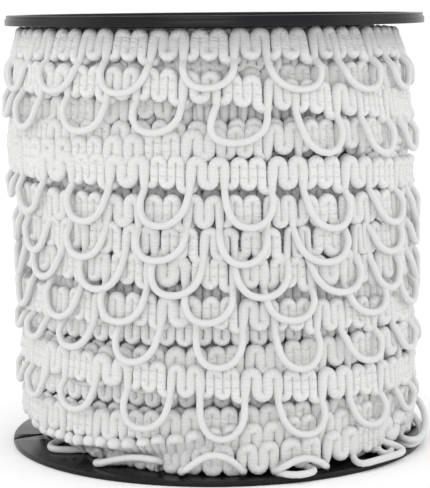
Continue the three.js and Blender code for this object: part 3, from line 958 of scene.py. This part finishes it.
def cord_material(name, group, yarns, fuzz, depth, shade, light):
    material, tree, shader = new_material(name)
    cover = node(tree, "ShaderNodeGroup", node_tree=group)
    set_sockets(cover, {"Yarns": yarns, "Fuzz": fuzz})
    # The ramp paints the grooves between yarns and ribs in the painted shade colour and the crests in the
    # light one
    colour = node(tree, "ShaderNodeValToRGB")
    colour.color_ramp.elements[0].color = (*shade, 1)
    colour.color_ramp.elements[1].color = (*light, 1)
    colour.color_ramp.elements[1].position = LIGHTEST_TONE
    tree.links.new(cover.outputs["Tone"], colour.inputs["Fac"])
    tree.links.new(colour.outputs["Color"], shader.inputs["Base Color"])
    bump = node(tree, "ShaderNodeBump")
    set_sockets(bump, {"Strength": YARN_RELIEF, "Distance": depth * MM})
    tree.links.new(cover.outputs["Height"], bump.inputs["Height"])
    tree.links.new(bump.outputs["Normal"], shader.inputs["Normal"])
    set_sockets(shader, YARN_FINISH)
    return material


def reel_plastic():
    material, tree, shader = new_material("black_moulded_plastic")
    set_sockets(shader, {"Base Color": PLASTIC_COLOUR, "Specular IOR Level": PLASTIC_SPECULAR})
    smears = noise(tree, SMEAR_SCALE, SMEAR_DETAIL)
    gloss = node(tree, "ShaderNodeMapRange")
    set_sockets(gloss, SMEAR_GLOSS)
    tree.links.new(smears.outputs["Fac"], gloss.inputs["Value"])
    tree.links.new(gloss.outputs["Result"], shader.inputs["Roughness"])
    return material


def turned_mesh(name, outline):
    """Closed ring turned about Z from an outline of radius and height pairs, with its edges rounded."""
    work = bmesh.new()
    corners = [work.verts.new((radius * MM, 0, height * MM)) for radius, height in outline]
    edges = [work.edges.new((corners[i], corners[(i + 1) % len(corners)])) for i in range(len(corners))]
    bmesh.ops.spin(work, geom=corners + edges, cent=(0, 0, 0), axis=(0, 0, 1), angle=2 * math.pi,
                   steps=TURNED_STEPS, use_merge=True)
    bmesh.ops.remove_doubles(work, verts=work.verts, dist=MERGE_DISTANCE * MM)
    bmesh.ops.recalc_face_normals(work, faces=work.faces)
    folds = [edge for edge in work.edges if len(edge.link_faces) == 2]
    sharp = [edge for edge in folds if edge.calc_face_angle() > ROUNDED_ANGLE]
    bmesh.ops.bevel(work, geom=sharp, offset=EDGE_ROUND * MM, offset_type="OFFSET", affect="EDGES",
                    segments=EDGE_STEPS, profile=0.5, material=-1, clamp_overlap=True)
    return finished_mesh(name, work)


def reel_piece(name, mesh, stands_for, material):
    piece = placed(name, mesh)
    mesh.materials.append(material)
    mesh.shade_smooth()
    mesh.set_sharp_from_angle(angle=math.radians(SHARP_ANGLE))
    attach(piece, "root")
    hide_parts(stands_for)
    return piece


def lower_half_mesh():
    rim = FLANGE_RADIUS
    return turned_mesh("lower_flange_and_barrel", [
        (BORE_RADIUS, 0), (rim, 0), (rim, LOWER_FLANGE), (BARREL_RADIUS, LOWER_FLANGE),
        (BARREL_RADIUS, BARREL_MIDDLE - FIT_GAP / 2), (BORE_RADIUS, BARREL_MIDDLE - FIT_GAP / 2)])


def upper_half_mesh():
    rim = FLANGE_RADIUS
    face = UPPER_UNDERSIDE + UPPER_FLANGE
    outer = rim - RIM_SET_BACK
    inner = outer - RIM_WIDTH
    return turned_mesh("upper_flange_and_barrel", [
        (BORE_RADIUS, BARREL_MIDDLE + FIT_GAP / 2), (BARREL_RADIUS, BARREL_MIDDLE + FIT_GAP / 2),
        (BARREL_RADIUS, UPPER_UNDERSIDE), (rim, UPPER_UNDERSIDE), (rim, face), (outer, face),
        (outer, REEL_HEIGHT), (inner, REEL_HEIGHT), (inner - EDGE_ROUND, face), (BORE_RADIUS, face)])


def slit_knife():
    """A thin box where the catch slit is cut."""
    mouth = math.radians(SLIT_ANGLE)
    x = FLANGE_RADIUS * math.sin(mouth) * MM
    y = -FLANGE_RADIUS * math.cos(mouth) * MM
    turn = Matrix.Rotation(math.radians(SLIT_ANGLE - 90 + SLIT_SLANT), 4, "Z")
    size = Matrix.Diagonal((2 * SLIT_LENGTH * MM, SLIT_WIDTH * MM, SLIT_CUT_HEIGHT * MM, 1))
    work = bmesh.new()
    bmesh.ops.create_cube(work, size=1, matrix=Matrix.Translation((x, y, 0)) @ turn @ size)
    return placed("slit", finished_mesh("slit", work))


def cut_slit(piece):
    """Cuts the catch slit in the lower flange."""
    knife = slit_knife()
    cut = piece.modifiers.new("slit", "BOOLEAN")
    cut.object = knife
    cut.operation = "DIFFERENCE"
    cut.solver = "EXACT"
    shaped = piece.evaluated_get(bpy.context.evaluated_depsgraph_get())
    mesh = bpy.data.meshes.new_from_object(shaped)
    piece.modifiers.clear()
    piece.data = mesh
    bpy.data.objects.remove(knife)


def core_mesh():
    """The winding under the layers that show, as one turned ring."""
    inner = BARREL_RADIUS + BARREL_CLEARANCE
    foot = LOWER_FLANGE + FIT_GAP
    mesh = turned_mesh("winding_core", [
        (inner, foot), (CORE_FOOT_RADIUS, foot), (CORE_FOOT_RADIUS, CORE_STEP), (CORE_RADIUS, CORE_STEP),
        (CORE_RADIUS, CORE_TOP), (inner, CORE_TOP)])
    mesh.shade_smooth()
    return mesh


def photo_camera():
    data = bpy.data.cameras.new("photo_camera")
    data.sensor_width = SENSOR_MM
    data.lens = FOCAL_PX / PHOTO_HEIGHT_PX * SENSOR_MM
    data.clip_start = CAMERA_NEAREST_M
    camera = placed("photo_camera", data)
    tilt = Matrix.Rotation(math.radians(90 - CAMERA_DOWN), 4, "X")
    roll = Matrix.Rotation(math.radians(-CAMERA_ROLL), 4, "Z")
    camera.matrix_world = Matrix.Translation(Vector(CAMERA_PLACE) * MM) @ tilt @ roll
    bpy.context.scene.camera = camera


def pale_floor():
    work = bmesh.new()
    bmesh.ops.create_grid(work, x_segments=1, y_segments=1, size=FLOOR_REACH_M)
    mesh = finished_mesh("floor", work)
    floor = placed("floor", mesh)
    material, _, shader = new_material("pale_floor")
    set_sockets(shader, {"Base Color": FLOOR_COLOUR, "Roughness": FLOOR_ROUGHNESS})
    mesh.materials.append(material)


def soft_light(name, place, size, power):
    data = bpy.data.lights.new(name, "AREA")
    data.shape = "RECTANGLE"
    data.size, data.size_y = size
    data.energy = power
    light = placed(name, data)
    light.location = place
    light.rotation_euler = (Vector(BOX_AIM) - Vector(place)).to_track_quat("-Z", "Y").to_euler()


def studio_light():
    world = bpy.data.worlds.new("studio")
    bpy.context.scene.world = world
    world.use_nodes = True
    background = world.node_tree.nodes["Background"]
    set_sockets(background, {"Color": (1, 1, 1, 1), "Strength": SURROUNDINGS})
    bpy.context.scene.view_settings.view_transform = "Standard"
    data = bpy.data.lights.new("overhead", "SUN")
    data.energy = OVERHEAD
    data.angle = math.radians(OVERHEAD_SPREAD)
    overhead = placed("overhead", data)
    overhead.rotation_euler = (math.radians(OVERHEAD_TILT), 0, 0)
    for box in SOFT_BOXES:
        soft_light(*box)


def wind_trim():
    """The cords of the strip, the layer below and the core of the winding."""
    braid = braided_cover()
    wrap = wrapped_yarn()
    loop_yarn = cord_material("loop_cord_yarn", braid, **LOOP_CORD_YARN)
    gimp_yarn = cord_material("gimp_yarn", wrap, **GIMP_YARN)
    thread_yarn = cord_material("stitch_thread", wrap, **THREAD_YARN)
    # The under yarn, on the layer below and the core, is lighter than the outer yarns: painted light for the
    # gaps
    under_yarn = cord_material("under_yarn", wrap, **UNDER_YARN)
    loop_cord = [loop_cord_repeat(number) for number in range(loop_count)]
    gimp = [gimp_repeat(number) for number in range(loop_count)]
    half = int(np.searchsorted(loop_left, PIECE_JOIN))
    for part, low, high in (("upper", 0, half), ("lower", half, loop_count)):
        cord_piece(f"loop_cord_{part}_turns", [joined(loop_cord, low, high)], CORD_SIDES, loop_yarn)
        cord_piece(f"gimp_cord_{part}_turns", [joined(gimp, low, high)], CORD_SIDES, gimp_yarn)
    threads = [stitch_thread(height) for height in STITCH_HEIGHTS]
    cord_piece("stitch_threads", threads, THREAD_SIDES, thread_yarn)
    cord_piece("stray_loops", [laid_rows(points) for points in STRAY_LOOPS], CORD_SIDES, loop_yarn)
    cord_piece("under_turns", [under_turns()], UNDER_SIDES, under_yarn)
    trim_piece("winding_core", core_mesh(), under_yarn)


def make_reel():
    plastic = reel_plastic()
    lower = reel_piece("reel_lower", lower_half_mesh(), "reel_lower_half", plastic)
    cut_slit(lower)
    reel_piece("reel_upper", upper_half_mesh(), "reel_upper_half", plastic)


photo_camera()
pale_floor()
studio_light()
wind_trim()
make_reel()
